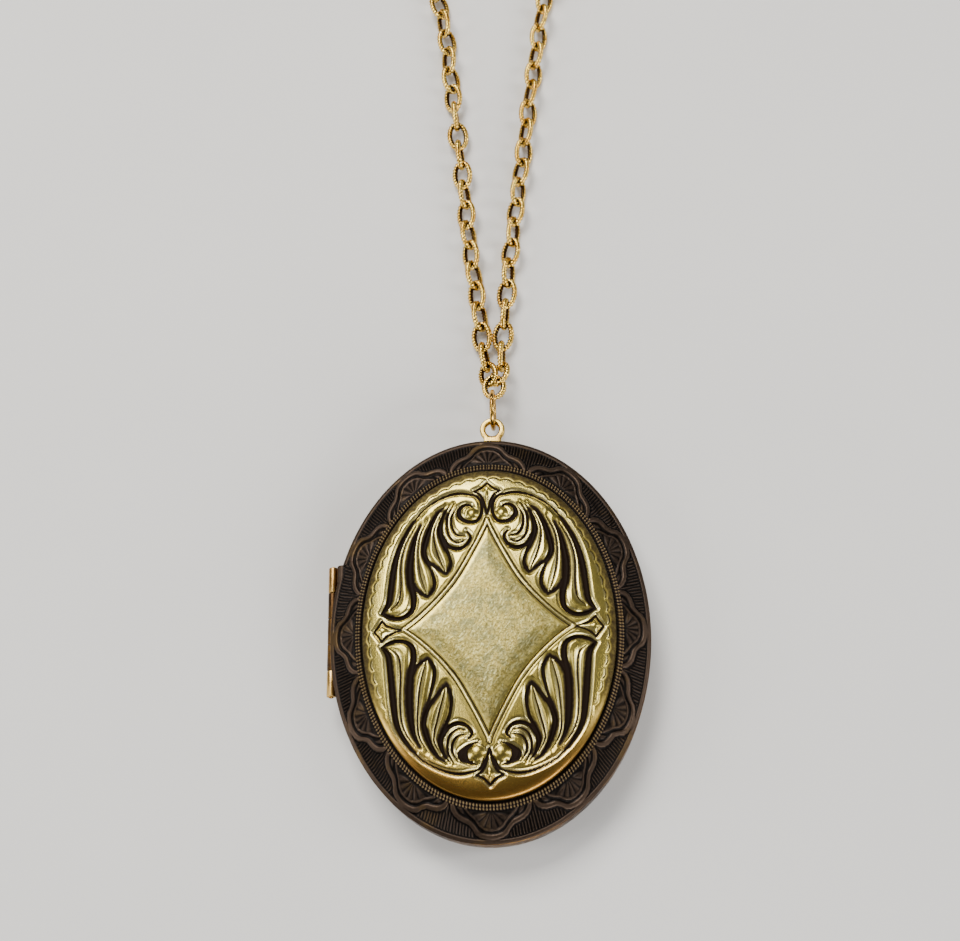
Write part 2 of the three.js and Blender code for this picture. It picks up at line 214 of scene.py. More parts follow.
def oval_points(a, b, z, turn):
    """Points on an oval about the Z axis, at the given turns in radians."""
    return np.stack([a * np.cos(turn), b * np.sin(turn), np.full(len(turn), z)], 1)


def oval(a, b, z, count=360):
    return oval_points(a, b, z, full_turn(count))


def rim_oval(inset, z, count=360):
    return oval(CASE_A - inset, CASE_B - inset, z, count)


def winged(row, inset=0.0):
    """The front cover's outline is drawn out to a straight edge over the hinge."""
    row = row.copy()
    over = (row[:, 0] < 0) & (row[:, 1] > HINGE_SPAN[0]) & (row[:, 1] < HINGE_SPAN[1])
    row[over, 0] = np.minimum(row[over, 0], -WING_X + inset)
    return row


def ring(radius, wire, around=48, section=14):
    """A round wire ring in the XY plane about the origin."""
    rows = []
    for k in range(section):
        turn = 2 * math.pi * k / section
        r = radius + wire * math.cos(turn)
        rows.append(oval(r, r, wire * math.sin(turn), around))
    return loft(rows, closed=True)


def tube(path, radii, section):
    """A tube along a list of points, with a radius at each, closed at both ends."""
    path = np.asarray(path, float)
    radii = np.broadcast_to(radii, len(path))
    tangents = np.gradient(path, axis=0)
    tangents /= np.linalg.norm(tangents, axis=1)[:, None]
    side = np.cross(tangents[0], (0.0, 0.0, 1.0))
    if np.linalg.norm(side) < 1e-6:
        side = np.array((1.0, 0.0, 0.0))
    rows = []
    for point, tangent, radius in zip(path, tangents, radii):
        side = side - tangent * np.dot(side, tangent)
        side /= np.linalg.norm(side)
        up = np.cross(tangent, side)
        turn = full_turn(section)
        rows.append(point + radius * (np.outer(np.cos(turn), side) + np.outer(np.sin(turn), up)))
    return loft([path[:1]] + rows + [path[-1:]])


def smooth_line(points, per_span):
    """Catmull-Rom points through a list of points of any number of columns."""
    p = np.asarray(points, float)
    p = np.vstack([2 * p[0] - p[1], p, 2 * p[-1] - p[-2]])
    t = np.linspace(0, 1, per_span, endpoint=False)[:, None]
    line = []
    for a, b, c, d in zip(p[:-3], p[1:-2], p[2:-1], p[3:]):
        line.append(0.5 * (
            2 * b + (c - a) * t + (2 * a - 5 * b + 4 * c - d) * t ** 2 + (3 * b - a - 3 * c + d) * t ** 3
        ))
    return np.vstack(line + [p[-2:-1]])


def cut_with(piece, cutter_points, cutter_faces):
    """Takes a closed cutter, in millimetres, out of a piece."""
    cutter = add_object("cutter", add_mesh("cutter", cutter_points, cutter_faces))
    modifier = piece.modifiers.new("notch", "BOOLEAN")
    modifier.object = cutter
    modifier.operation = "DIFFERENCE"
    modifier.solver = "EXACT"
    graph = bpy.context.evaluated_depsgraph_get()
    cut = bpy.data.meshes.new_from_object(piece.evaluated_get(graph))
    piece.modifiers.clear()
    old = piece.data
    cut.name = old.name
    piece.data = cut
    bpy.data.meshes.remove(old)
    bpy.data.objects.remove(cutter)


# ---------------- materials


def srgb(red, green, blue):
    """A colour, given from 0 to 255 as it looks on a screen, in the renderer's linear numbers."""
    def linear(level):
        level /= 255
        return level / 12.92 if level <= 0.04045 else ((level + 0.055) / 1.055) ** 2.4

    return (linear(red), linear(green), linear(blue), 1.0)


class Finish:
    """A material whose nodes are added one after another."""

    def __init__(self, name, metallic, roughness):
        self.material = bpy.data.materials.new(name)
        self.material.use_nodes = True
        self.nodes = self.material.node_tree.nodes
        self.links = self.material.node_tree.links
        self.shader = self.nodes["Principled BSDF"]
        self.set("Metallic", metallic)
        self.set("Roughness", roughness)
        self.place = self.nodes.new("ShaderNodeTexCoord").outputs["Object"]

    def feed(self, socket, value):
        """A socket takes a number or a colour as it is, and another node's output by a link."""
        if isinstance(value, bpy.types.NodeSocket):
            self.links.new(value, socket)
        else:
            socket.default_value = value

    def node(self, kind, inputs, **settings):
        """A new node's outputs, once its settings are made and its inputs are fed."""
        node = self.nodes.new("ShaderNode" + kind)
        for name, value in settings.items():
            setattr(node, name, value)
        for key, value in inputs.items():
            self.feed(node.inputs[key], value)
        return node.outputs

    def layer(self, name):
        return self.node("Attribute", {}, attribute_name=name)["Fac"]

    def noise(self, size, detail=3.0, roughness=0.55, stretch=(1, 1, 1), turn=0.0):
        """Grain whose main features are size millimetres across, turned about Z."""
        scale = [size * MM / share for share in stretch]
        placing = {"Vector": self.place, "Scale": scale, "Rotation": (0, 0, turn)}
        place = self.node("Mapping", placing, vector_type="TEXTURE")["Vector"]
        grain = {"Vector": place, "Scale": 1.0, "Detail": detail, "Roughness": roughness}
        return self.node("TexNoise", grain)["Fac"]

    def ramp(self, source, low, high, to_low=0.0, to_high=1.0):
        """Smoothly from to_low, where the source is at low, to to_high."""
        ends = {"From Min": low, "From Max": high, "To Min": to_low, "To Max": to_high}
        return self.node("MapRange", {"Value": source, **ends}, interpolation_type="SMOOTHSTEP")["Result"]

    def math(self, operation, first, second):
        return self.node("Math", {0: first, 1: second}, operation=operation)[0]

    def times(self, first, second):
        return self.math("MULTIPLY", first, second)

    def plus(self, first, second):
        return self.math("ADD", first, second)

    def mix(self, share, first, second):
        """From one colour to another. The node's inputs 6 and 7 and its output 2 are the colours."""
        return self.node("Mix", {"Factor": share, 6: first, 7: second}, data_type="RGBA")[2]

    def set(self, socket, value):
        self.feed(self.shader.inputs[socket], value)

    def bump(self, height, strength, depth):
        inputs = {"Height": height, "Strength": strength, "Distance": depth * MM}
        self.set("Normal", self.node("Bump", inputs)["Normal"])


def worn_brass(name, clean, worn, roughness, blotch=6.0):
    """Brass with blotches of tarnish, a fine grain and hairline scratches."""
    finish = Finish(name, 1.0, roughness)
    blotches = finish.ramp(finish.noise(blotch, 4.0), 0.42, 0.66)
    specks = finish.ramp(finish.noise(0.5, 2.0), 0.55, 0.75)
    colour = finish.mix(blotches, clean, worn)
    colour = finish.mix(finish.times(specks, 0.35), colour, worn)
    finish.set("Base Color", colour)
    uneven = finish.noise(1.6, 4.0)
    finish.set("Roughness", finish.ramp(uneven, 0.3, 0.75, roughness * 0.8, roughness * 1.35))
    hairlines = finish.noise(0.12, 2.0, stretch=(1, 0.06, 1))
    finish.bump(finish.plus(hairlines, finish.noise(0.09, 2.0)), 0.25, 0.02)
    return finish.material


def dome_finish():
    """Buffed pale brass, warmer towards the foot, mottled in the diamond; dark with patina in the cut work
    and with painted shade on the leaf bodies and the outer slope, and lighter along raised edges, worn and
    with a painted highlight.
    """
    finish = Finish("dome_brass", 1.0, 0.34)
    patina_and_shade = finish.layer("patina_and_shade")
    warmth = finish.layer("warmth")
    mottled = finish.layer("mottled")
    brightened = finish.layer("brightened")
    blotches = finish.ramp(finish.noise(5.0, 5.0), 0.4, 0.68)
    colour = finish.mix(blotches, srgb(206, 186, 96), srgb(174, 156, 78))
    colour = finish.mix(finish.times(mottled, 0.55), colour, srgb(136, 126, 76))
    clouds = finish.times(finish.ramp(finish.noise(2.2, 5.0, 0.65), 0.42, 0.62), 0.7)
    colour = finish.mix(finish.times(clouds, mottled), colour, srgb(108, 110, 82))
    grain = finish.noise(0.32, 4.0, 0.75)
    speck = finish.times(finish.ramp(grain, 0.45, 0.56), finish.ramp(mottled, 0.0, 1.0, 0.2, 0.7))
    colour = finish.mix(speck, colour, srgb(94, 88, 50))
    streaks = finish.ramp(finish.noise(0.2, 3.0, 0.6, (1, 0.3, 1), math.radians(-35)), 0.54, 0.64)
    streaks = finish.times(streaks, finish.times(mottled, 0.35))
    colour = finish.mix(streaks, colour, srgb(240, 232, 160))
    colour = finish.mix(warmth, colour, srgb(156, 114, 52))
    edge_tarnish = finish.times(finish.ramp(finish.noise(0.8, 4.0), 0.5, 0.7), 0.35)
    colour = finish.mix(edge_tarnish, colour, srgb(140, 118, 58))
    # Lighter raised edges: worn metal, and a painted highlight along them.
    colour = finish.mix(finish.times(brightened, 0.6), colour, srgb(250, 236, 172))
    # Dark patina in the cut work, and painted shade on the leaf bodies and the outer slope.
    uneven = finish.plus(patina_and_shade, finish.times(finish.noise(0.35, 3.0), 0.3))
    colour = finish.mix(finish.ramp(uneven, 0.3, 0.95), colour, srgb(24, 12, 3))
    finish.set("Base Color", colour)
    finish.set("Metallic", finish.ramp(patina_and_shade, 0.45, 0.9, 1.0, 0.2))
    finish.set("Specular IOR Level", finish.ramp(patina_and_shade, 0.4, 0.9, 0.5, 0.12))
    rough = finish.plus(finish.ramp(patina_and_shade, 0.2, 0.8, 0.0, 0.35), finish.ramp(mottled, 0, 1, 0.27, 0.38))
    finish.set("Roughness", rough)
    brushed = finish.noise(0.1, 2.0, stretch=(1, 0.08, 1))
    grains = finish.times(grain, finish.ramp(mottled, 0, 1, 0.1, 2.6))
    finish.bump(finish.plus(grains, finish.times(brushed, 0.5)), 0.6, 0.04)
    return finish.material


def border_finish():
    """Dark antiqued metal whose raised lines are worn lighter, and whose bead tops are lighter still, worn
    and with a painted highlight.
    """
    finish = Finish("border_dark_brass", 0.85, 0.42)
    lift = finish.layer("lift")
    patches = finish.ramp(finish.noise(3.5, 4.0), 0.52, 0.7)
    dark = finish.mix(patches, srgb(8, 4, 2), srgb(16, 9, 4))
    brightened = finish.mix(patches, srgb(62, 49, 39), srgb(76, 59, 36))
    grain = finish.noise(0.25, 3.0)
    share = finish.ramp(finish.plus(lift, finish.times(grain, 0.3)), 0.35, 1.05)
    colour = finish.mix(share, dark, brightened)
    # Bead tops lighter still: worn, and a painted highlight on them.
    finish.set("Base Color", finish.mix(finish.ramp(lift, 1.0, 1.4), colour, srgb(112, 94, 62)))
    finish.set("Roughness", finish.ramp(grain, 0.3, 0.7, 0.36, 0.55))
    finish.bump(finish.noise(0.1, 2.0), 0.25, 0.02)
    return finish.material


def side_finish():
    """The upright rim: brown tarnish worn through to brass in patches."""
    finish = Finish("side_brass", 1.0, 0.36)
    patches = finish.ramp(finish.noise(7.0, 6.0, 0.65), 0.42, 0.72)
    colour = finish.mix(patches, srgb(54, 38, 26), srgb(126, 92, 46))
    colour = finish.mix(finish.ramp(finish.noise(0.6, 4.0), 0.45, 0.8), colour, srgb(88, 64, 40))
    finish.set("Base Color", colour)
    finish.set("Roughness", finish.ramp(finish.noise(1.0, 3.0), 0.3, 0.7, 0.28, 0.5))
    finish.bump(finish.noise(0.12, 3.0, stretch=(1, 1, 0.2)), 0.3, 0.02)
    return finish.material


def chain_finish():
    """Yellow gilt wire, browner in the notches of its twist and inside the links: tarnish there, and painted
    shade.
    """
    finish = Finish("chain_gold", 1.0, 0.24)
    blotches = finish.ramp(finish.noise(1.5, 4.0), 0.42, 0.66)
    colour = finish.mix(blotches, srgb(240, 200, 98), srgb(210, 160, 62))
    # Darker in the twist's notches and on the links' inner side: tarnish, and painted shade.
    hidden = finish.plus(finish.layer("depth"), finish.times(finish.noise(0.4, 2.0), 0.3))
    finish.set("Base Color", finish.mix(finish.ramp(hidden, 0.4, 1.1), colour, srgb(50, 27, 8)))
    finish.set("Roughness", finish.ramp(finish.noise(0.8, 3.0), 0.3, 0.75, 0.15, 0.3))
    finish.bump(finish.noise(0.1, 2.0), 0.2, 0.02)
    return finish.material


def clear_finish():
    finish = Finish("clear_pane", 0.0, 0.08)
    finish.set("Base Color", srgb(244, 247, 244))
    finish.set("Transmission Weight", 1.0)
    finish.set("IOR", 1.46)
    finish.set("Roughness", finish.ramp(finish.noise(2.5, 4.0), 0.35, 0.7, 0.04, 0.14))
    finish.bump(finish.noise(0.4, 2.0, stretch=(1, 0.1, 1)), 0.06, 0.01)
    return finish.material


def card_finish():
    finish = Finish("picture_card", 0.0, 0.85)
    fibres = finish.noise(0.35, 5.0, 0.7, stretch=(1, 0.35, 1))
    foxing = finish.ramp(finish.noise(7.0, 5.0), 0.52, 0.74)
    colour = finish.mix(finish.ramp(fibres, 0.3, 0.7), srgb(250, 243, 224), srgb(240, 230, 206))
    finish.set("Base Color", finish.mix(foxing, colour, srgb(224, 206, 168)))
    finish.bump(fibres, 0.3, 0.02)
    return finish.material


SIDE_BRASS = side_finish()
PLAIN_BRASS = worn_brass("plain_brass", srgb(205, 168, 98), srgb(150, 112, 62), 0.3)
PALE_BRASS = worn_brass("pale_brass", srgb(200, 170, 88), srgb(150, 118, 54), 0.3, blotch=2.0)
GOLD_WIRE = worn_brass("gold_wire", srgb(212, 170, 84), srgb(150, 108, 46), 0.22, blotch=2.0)
CHAIN_GOLD = chain_finish()
SPRING_STEEL = worn_brass("spring_steel", srgb(168, 168, 166), srgb(118, 116, 114), 0.3, blotch=1.0)
CLEAR = clear_finish()
CARD = card_finish()


# ---------------- camera


def add_camera():
    """Looks down at the locket from the front, a little from the right."""
    target = Vector((-1.1, 22.3, 5.0)) * MM
    towards = Vector((0.060, -0.350, 0.935)).normalized()
    distance = 246.1 * MM
    roll = -0.009
    right = Vector((0, 1, 0)).cross(towards).normalized()
    up = towards.cross(right)
    rolled_right = right * math.cos(roll) + up * math.sin(roll)
    rolled_up = up * math.cos(roll) - right * math.sin(roll)
    data = bpy.data.cameras.new("camera")
    data.sensor_width = 36
    data.lens = 71.2
    data.clip_start = 0.01
    camera = add_object("camera", data)
    turn = Matrix((rolled_right, rolled_up, towards)).transposed()
    camera.matrix_world = Matrix.Translation(target + towards * distance) @ turn.to_4x4()
    bpy.context.scene.camera = camera


# ---------------- chain


def twisted_link(length, width, wire, around=96, section=9):
    """An oval link of twisted wire in the XY plane, long along X: its section is a flattened round
    that turns as it goes along, which leaves slanting notches. Also how deep each point lies."""
    mean, swell = 0.86, 0.2
    half_length, half_width = length / 2 - wire, width / 2 - wire
    fine = np.linspace(0, 2 * math.pi, 721)
    run = run_length(oval_points(half_length, half_width, 0, fine))
    share = np.arange(around) / around
    turn = np.interp(share * run[-1], run, fine)
    centre = oval_points(half_length, half_width, 0, turn)
    normal = oval_points(half_width, half_length, 0, turn)
    normal /= np.linalg.norm(normal, axis=1)[:, None]
    twist = LINK_TWISTS * math.pi * share
    rows, depth = [], []
    for k in range(section):
        side = 2 * math.pi * k / section
        beat = np.cos(2 * (side - twist))
        reach = wire * (mean + swell * beat)
        # The inner side and the twist's notches are marked deep, for tarnish and painted shade in the
        # finish.
        inward = ramp(0.1, 0.8, -math.cos(side))
        depth.append(0.3 - 0.3 * beat + 0.85 * inward)
        lift = (reach * math.sin(side))[:, None] * np.array((0, 0, 1.0))
        rows.append(centre + normal * (reach * math.cos(side))[:, None] + lift)
    return *loft(rows, closed=True), np.concatenate(depth)


def coil_turns(side, height):
    """Turns from the outside of the coil inwards. side is -1 for the left strand, which winds
    clockwise, and 1 for the right one."""
    share = np.linspace(0.0, 1.0, COIL_POINTS)
    radius = COIL_OUTER_TURN + (COIL_INNER_TURN - COIL_OUTER_TURN) * share
    turn = COIL_ENTRY - COIL_SWEEP * share
    x = COIL_X - side * radius * np.cos(turn)
    return np.stack([x, COIL_Y + radius * np.sin(turn), np.full(COIL_POINTS, height)], 1)


def chain_route(strand, side, tail):
    """From the end link along the strand, round the coil and along the tail to the clasp."""
    tail = np.asarray(tail) + (COIL_X, COIL_Y, 0)
    turns = coil_turns(side, strand[-1][2])
    return smooth_line(np.vstack([strand, turns, tail]), 12)


def resample(line, step):
    """Points about a step apart along a line, and the line's length."""
    lengths = run_length(line)
    count = int(lengths[-1] / step)
    at = np.linspace(0, lengths[-1], count + 1)
    return np.stack([np.interp(at, lengths, line[:, i]) for i in range(3)], 1), lengths[-1]


def add_strand(name, route, replaces, loose, seed):
    """One half of the neck chain: links turned to one side and the other, all along the route, and
    none of them lower than the table."""
    stops, length = resample(route, LINK_PITCH)
    link_points, link_faces, depth = twisted_link(LINK_LENGTH, LINK_WIDTH, LINK_WIRE)
    link_faces = np.array(link_faces)
    chance = np.random.default_rng(seed)
    points, faces = [], []
    for i, (start, end) in enumerate(zip(stops[:-1], stops[1:])):
        along = (end - start) / np.linalg.norm(end - start)
        flat = np.cross((0.0, 0.0, 1.0), along)
        flat /= np.linalg.norm(flat)
        up = np.cross(along, flat)
        drift = ROLL_SWAY * math.sin(ROLL_BEAT * i + seed)
        drift += sum(way * LINK_ROLL * math.exp(-((i - at) / LOOSE_REACH) ** 2) for at, way in loose)
        roll = (LINK_ROLL if i % 2 else -LINK_ROLL) + drift + chance.normal(0, ROLL_CHANCE)
        across = flat * math.cos(roll) + up * math.sin(roll)
        upright = np.cross(along, across)
        turn = np.stack([along, across, upright])
        faces.append(link_faces + len(link_points) * i)
        placed = link_points @ turn + (start + end) / 2
        placed[:, 2] += max(0.0, -placed[:, 2].min())
        points.append(placed)
    mesh = np.vstack(points), np.vstack(faces)
    layers = {"depth": np.tile(depth, len(faces))}
    piece = add_piece(name, *mesh, "back", "gold_chain", CHAIN_GOLD, replaces, layers)


add_camera()


# ---------------- dome

# Strokes of the cut work in the dome's upper left quarter, as (x, y, width). The other quarters
# mirror it.
LEAF_GROOVES = [
    [(-1.2, 17.5, .25), (-3.5, 18.0, .42), (-5.7, 17.5, .32), (-7.9, 16.1, .26), (-9.7, 13.9, .34),
     (-11.2, 10.9, .7), (-11.9, 8.2, .85), (-12.2, 5.8, .85), (-12.5, 3.6, .75), (-13.3, 2.3, .4)],
    [(-8.5, 13.8, .12), (-9.3, 11.6, .55), (-9.8, 8.6, .9), (-9.7, 6.2, .95), (-9.3, 4.2, .85),
     (-9.5, 2.5, .7), (-10.7, 1.6, .6), (-12.2, 1.7, .55), (-13.3, 2.3, .35)],
    [(-9.4, 6.0, .5), (-8.8, 5.0, .42), (-7.5, 4.2, .3)],
    [(-5.2, 16.4, .12), (-6.4, 15.2, .35), (-7.2, 13.6, .55), (-7.8, 11.6, .72), (-8.0, 9.9, .7),
     (-7.2, 8.6, .42), (-5.2, 7.1, .3)],
    [(-8.0, 9.3, .3), (-7.2, 7.9, .4), (-6.7, 6.3, .52), (-6.8, 5.1, .45), (-7.5, 4.2, .28)],
    [(-4.8, 16.3, .12), (-5.7, 14.7, .42), (-6.0, 13.0, .72), (-5.6, 11.3, .6), (-4.8, 9.4, .42),
     (-4.6, 8.1, .42), (-5.2, 7.1, .28)],
    [(-5.7, 12.2, .5), (-5.0, 10.9, .6), (-3.8, 10.4, .6), (-2.7, 10.8, .48), (-2.1, 11.9, .4),
     (-2.6, 12.7, .25)],
]
CURL_GROOVES = [
    [(-4.3, 16.5, .12), (-5.0, 14.9, .3), (-5.1, 13.2, .34), (-4.7, 11.9, .32), (-3.8, 11.2, .28),
     (-2.9, 11.4, .16)],
    [(-3.8, 16.1, .12), (-4.5, 14.8, .3), (-4.5, 13.4, .36), (-3.9, 12.3, .34), (-2.8, 12.0, .18)],
    [(-2.25, 15.4, .12), (-1.95, 15.75, .26), (-2.1, 16.2, .34), (-2.75, 16.3, .42), (-3.45, 15.85, .52),
     (-3.6, 14.95, .66), (-2.8, 14.1, .6), (-1.4, 14.05, .5), (-.75, 15.0, .44), (-.7, 16.3, .42),
     (-1.15, 17.3, .38), (-1.9, 17.8, .28)],
]
VEINS = [
    [(-9.1, 13.7, .12), (-10.4, 11.2, .24), (-10.95, 8.7, .28), (-10.9, 5.7, .28), (-11.2, 3.7, .24),
     (-12.2, 2.7, .14)],
    [(-7.5, 14.6, .12), (-8.5, 12.4, .22), (-8.8, 10.1, .26), (-8.5, 7.3, .26), (-7.7, 4.6, .16)],
    [(-5.9, 15.1, .12), (-6.7, 13.1, .2), (-6.7, 11.5, .26), (-6.2, 9.5, .26), (-5.35, 7.5, .16)],
]
FINIAL_GROOVES = [
    [(0, 19.4, .3), (-.75, 18.65, .34), (-1.65, 18.2, .3)],
    [(-1.65, 18.2, .3), (-.95, 17.75, .36), (-.55, 17.0, .42), (-.28, 16.0, .42), (0, 15.0, .3)],
    [(-14.3, 0, .26), (-13.8, .6, .3), (-13.3, 1.32, .3)],
    [(-13.3, 1.32, .3), (-12.75, .74, .34), (-12.0, .36, .3), (-11.0, .03, .2)],
]
# Distances from the middle in the lower half, each with its counterpart in the upper half.
LOWER_HALF = [
    (0, 0), (3.75, 4.2), (7.1, 7.1), (9.8, 8.8), (12.0, 10.5), (15.7, 15.1), (18.0, 18.0), (22.0, 22.0),
]
# Only in the lower half.
LOWER_CURL_GROOVES = [
    [(-1.5, 17.0, .16), (-2.35, 16.75, .4), (-3.0, 16.1, .85), (-3.0, 15.2, .85), (-2.2, 14.5, .34),
     (-1.4, 14.3, .2)],
]
# The round ends of the scrolls in the upper and the lower half: x, y and radius.
SCROLL_BALL = (-1.9, 15.05, 1.0)
LOWER_BALL = (-1.5, 15.6, 1.25)
DIAMOND_SIDE = [
    (0, 14.2), (-.2, 13.5), (-1.15, 11.5), (-2.25, 9.4), (-3.3, 7.5), (-4.2, 6.1), (-5.3, 4.7), (-6.3, 3.6),
    (-7.5, 2.4), (-8.8, 1.25), (-10.0, .35), (-10.6, 0),
]
# A place off the dome, and a distance from a stroke at which it changes nothing.
FAR = 99.0
AWAY = 9.0
SCALLOP_RING = 0.94
SCALLOP_COUNT = 64


def near_stroke(stroke, x, y, reach=1.6):
    """How far each point is from the middle of a stroke, and how wide the stroke is there."""
    line = smooth_line(stroke, 6)
    distance, width = np.full(x.shape, AWAY), np.full(x.shape, 0.1)
    low, high = line.min(axis=0) - reach, line.max(axis=0) + reach
    near = (x > low[0]) & (x < high[0]) & (y > low[1]) & (y < high[1])
    px, py, best, wide = x[near], y[near], distance[near], width[near]
    for start, end in zip(line[:-1], line[1:]):
        run = end - start
        ahead = (px - start[0]) * run[0] + (py - start[1]) * run[1]
        t = np.clip(ahead / (run[0] ** 2 + run[1] ** 2), 0, 1)
        d = np.hypot(px - start[0] - t * run[0], py - start[1] - t * run[1])
        closer = d < best
        best[closer] = d[closer]
        wide[closer] = (start[2] + t * run[2])[closer]
    distance[near], width[near] = best, wide
    return distance, width


def oval_place(x, y, a, b, count=2048):
    """Arc length round an oval, from its top, at each point's bearing."""
    turn = np.linspace(0, 2 * math.pi, count)
    length = run_length(np.stack([a * np.sin(turn), b * np.cos(turn)], 1))
    bearing = np.arctan2(x / a, y / b) % (2 * math.pi)
    return np.interp(bearing, turn, length), length[-1]


def cut_strokes(fx, fy, lower):
    """The leaves, curls, tips and veins: height; how dark each point is, from patina in the grooves and
    painted shade on the leaf bodies; and how light its edges are, from wear and a painted highlight. lower
    says which points are in the lower half."""
    below, above = smooth_line(LOWER_HALF, 8).T
    leaf_y = np.where(lower, np.interp(fy, below, above), fy)
    lower_y = np.where(lower, fy, FAR)
    height, patina_and_shade, brightened = (np.zeros(fx.shape) for _ in range(3))
    from_groove, from_outline, from_vein = (np.full(fx.shape, AWAY) for _ in range(3))
    for strokes, deepest, darkest, along in (
        (LEAF_GROOVES, 0.42, 1.0, leaf_y),
        (CURL_GROOVES, 0.3, 1.0, leaf_y),
        (LOWER_CURL_GROOVES, 0.3, 1.0, lower_y),
        (FINIAL_GROOVES, 0.28, 1.0, fy),
        (VEINS, 0.16, 0.9, leaf_y),
    ):
        for stroke in strokes:
            distance, width = near_stroke(stroke, fx, along)
            share = distance / (width / 2)
            depth = np.minimum(deepest, width * 0.7)
            height = np.minimum(height, -depth * (1 - ramp(0.35, 1.2, share)))
            patina_and_shade = np.maximum(patina_and_shade, darkest * (1 - ramp(0.7, 1.25, share)))
            edge = distance - width / 2
            # A lighter lip beside each wide groove: worn metal, and a painted highlight.
            lip = 1 - ramp(0.04, 0.15, np.abs(edge - 0.13))
            brightened = np.maximum(brightened, lip * ramp(0.14, 0.24, width))
            if strokes is VEINS:
                from_vein = np.minimum(from_vein, edge)
                from_groove = np.minimum(from_groove, edge + 0.12)
            else:
                from_outline = np.minimum(from_outline, edge)
                from_groove = np.minimum(from_groove, edge)
    leaf = 1 - ramp(0.7, 1.2, from_vein)
    height += 0.2 * ramp(-0.05, 0.4 + 0.4 * leaf, from_groove) - 0.2
    # Painted shade: each leaf body darkens towards its outline.
    between = 0.74 * leaf * (1 - ramp(0, 0.7, from_outline)) * ramp(0.02, 0.2, from_vein)
    patina_and_shade = np.maximum(patina_and_shade, between)
    brightened *= 1 - ramp(0.2, 0.6, patina_and_shade)
    return height, patina_and_shade, brightened


def raise_knobs(fx, fy, lower, height, patina_and_shade, brightened):
    """Works the scrolls' round ends, and the drops at the dome's ends and sides, into the arrays."""
    for half, (ball_x, ball_y, size) in ((~lower, SCROLL_BALL), (lower, LOWER_BALL)):
        ball = np.hypot(fx - ball_x, fy - ball_y) / size
        share = half * (1 - ramp(0.7, 1.0, ball))
        height += share * (0.5 * (1 - ball ** 2) - 0.3 - height)
        patina_and_shade *= 1 - share
        brightened *= 1 - share
    spear = np.hypot(fx / 0.8, (fy - 18.3) / 1.2)
    height += 0.34 * (1 - ramp(0.1, 0.8, spear))
    kite = np.hypot((fx + 13.2) / 1.1, fy)
    height += 0.24 * (1 - ramp(0.1, 0.8, kite))


def frame_diamond(fx, fy, height, patina_and_shade, brightened):
    """The diamond's raised edge between its grooves, and how much each point is inside it."""
    side = [(x, y, 0.5) for x, y in DIAMOND_SIDE]
    distance, _ = near_stroke(side, fx, fy, 3.0)
    line = smooth_line(side, 6)
    inside = -fx < np.interp(fy, line[::-1, 1], -line[::-1, 0], right=0)
    signed = np.where(inside, -distance, distance)
    height += 0.18 * (1 - ramp(0.03, 0.19, distance))
    # The ridge is lighter: worn, and a painted highlight along it.
    brightened = np.maximum(brightened, 1 - ramp(0.04, 0.16, distance))
    for place, wide, deep, dark in (
        (0.3, 0.12, 0.12, 0.85), (-0.28, 0.12, 0.12, 0.95), (0.62, 0.2, 0.04, 0.5),
    ):
        groove = 1 - ramp(0.3 * wide, 1.3 * wide, np.abs(signed - place))
        height -= deep * groove
        patina_and_shade = np.maximum(patina_and_shade, dark * groove)
    height += 0.3 * ramp(0.35, 2.9, -signed) - 0.12 * ramp(0.2, 0.4, -signed)
    return height, patina_and_shade, brightened, ramp(0.3, 1.2, -signed)


def edge_scallops(x, y, height, patina_and_shade, brightened):
    """The row of small scallops near the dome's foot, worn away towards its lower end."""
    a, b = DOME_A * SCALLOP_RING, DOME_B * SCALLOP_RING
    place, around = oval_place(x, y, a, b)
    radius = np.hypot(x, y)
    out = radius - radius / np.maximum(np.hypot(x / a, y / b), 1e-6)
    wave = np.abs(np.sin(math.pi * place / around * SCALLOP_COUNT))
    off = out - 0.28 * (wave - 0.5)
    kept = ramp(-13, -6, y)
    step = 0.12 * ramp(-0.08, 0.02, off) * (1 - ramp(0.15, 0.45, off))
    height -= kept * (step + 0.06 * ramp(0.0, 0.4, off))
    line = 1 - ramp(0.06, 0.18, np.abs(off))
    patina_and_shade = np.maximum(patina_and_shade, 0.8 * kept * line * ramp(0.1, 0.5, wave))
    # Painted shade: the steep outer slope beyond the scallops is darkened.
    patina_and_shade = np.maximum(patina_and_shade, (0.3 + 0.36 * kept) * ramp(0.02, 0.4, off))
    # Painted highlight along each scallop's crest.
    crest = 1 - ramp(0.04, 0.17, np.abs(off + 0.2))
    brightened = np.maximum(brightened, 0.6 * kept * crest * ramp(0.3, 0.8, wave))
    return height, patina_and_shade, brightened


def dome_relief(x, y):
    """Height of the cut work, and how much each point is darkened, by patina in the hollows and by painted
    shade, how much it is mottled diamond, and how much it is lightened, by wear and a painted highlight.
    """
    fx, fy, lower = -np.abs(x), np.abs(y), y < 0
    height, patina_and_shade, brightened = cut_strokes(fx, fy, lower)
    raise_knobs(fx, fy, lower, height, patina_and_shade, brightened)
    height, patina_and_shade, brightened, mottled = frame_diamond(fx, fy, height, patina_and_shade, brightened)
    height, patina_and_shade, brightened = edge_scallops(x, y, height, patina_and_shade, brightened)
    return height, patina_and_shade, mottled, brightened


def square_to_disc(count):
    """Points that fill a disc evenly, in a square grid."""
    u, v = np.meshgrid(np.linspace(-1, 1, count + 1), np.linspace(-1, 1, count + 1))
    wide = np.abs(u) >= np.abs(v)
    reach = np.where(wide, u, v)
    safe = np.where(reach == 0, 1, reach)
    turn = np.where(wide, math.pi / 4 * v / safe, math.pi / 2 - math.pi / 4 * u / safe)
    return reach * np.cos(turn), reach * np.sin(turn)


